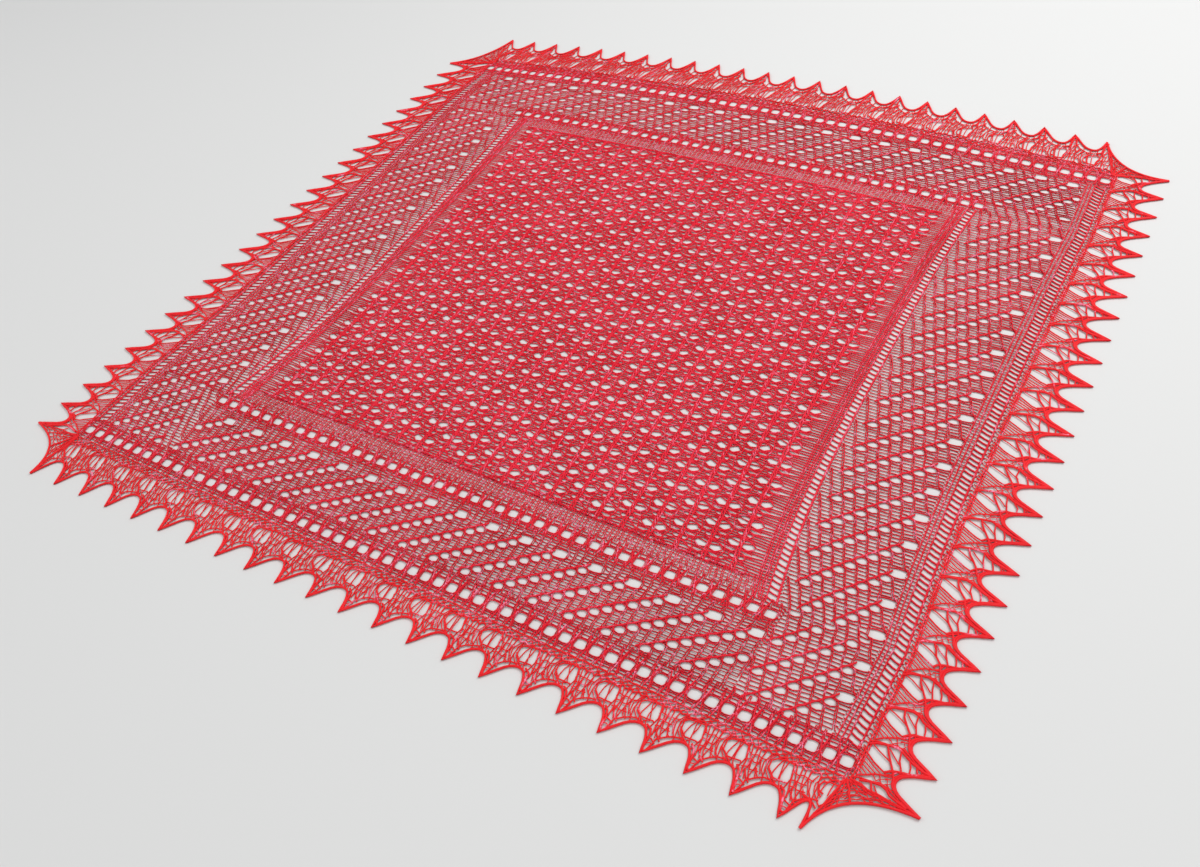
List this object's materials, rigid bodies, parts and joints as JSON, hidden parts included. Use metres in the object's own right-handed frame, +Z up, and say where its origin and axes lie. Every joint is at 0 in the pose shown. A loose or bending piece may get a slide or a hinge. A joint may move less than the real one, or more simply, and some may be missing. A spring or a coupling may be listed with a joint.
{
  "type": "knitted lace shawl",
  "caption": "Square knitted lace shawl laid flat, with a star lace centre, wide eyelet borders and a deep edging of pointed teeth.",
  "frame": {"origin": "on the surface it lies on, under the middle of the outline", "axes": "+Z up out of the surface, +Y along the centre's ribs towards the back edging, +X towards the right edging"},
  "size_m": [1.2832, 1.186, 0.002],
  "materials": {
    "centre_yarn": "silky red lace yarn, dense star lace",
    "border_yarn": "silky red lace yarn, open ladder lace with eyelets",
    "edging_yarn": "silky red lace yarn, open edging with a doubled edge"
  },
  "bodies": {
    "root": {"centre_panel": "centre_yarn", "border_front": "border_yarn", "border_back": "border_yarn", "border_left": "border_yarn", "border_right": "border_yarn", "edging_front": "edging_yarn", "edging_right": "edging_yarn", "edging_back": "edging_yarn", "edging_left": "edging_yarn"}
  },
  "joints": []
}
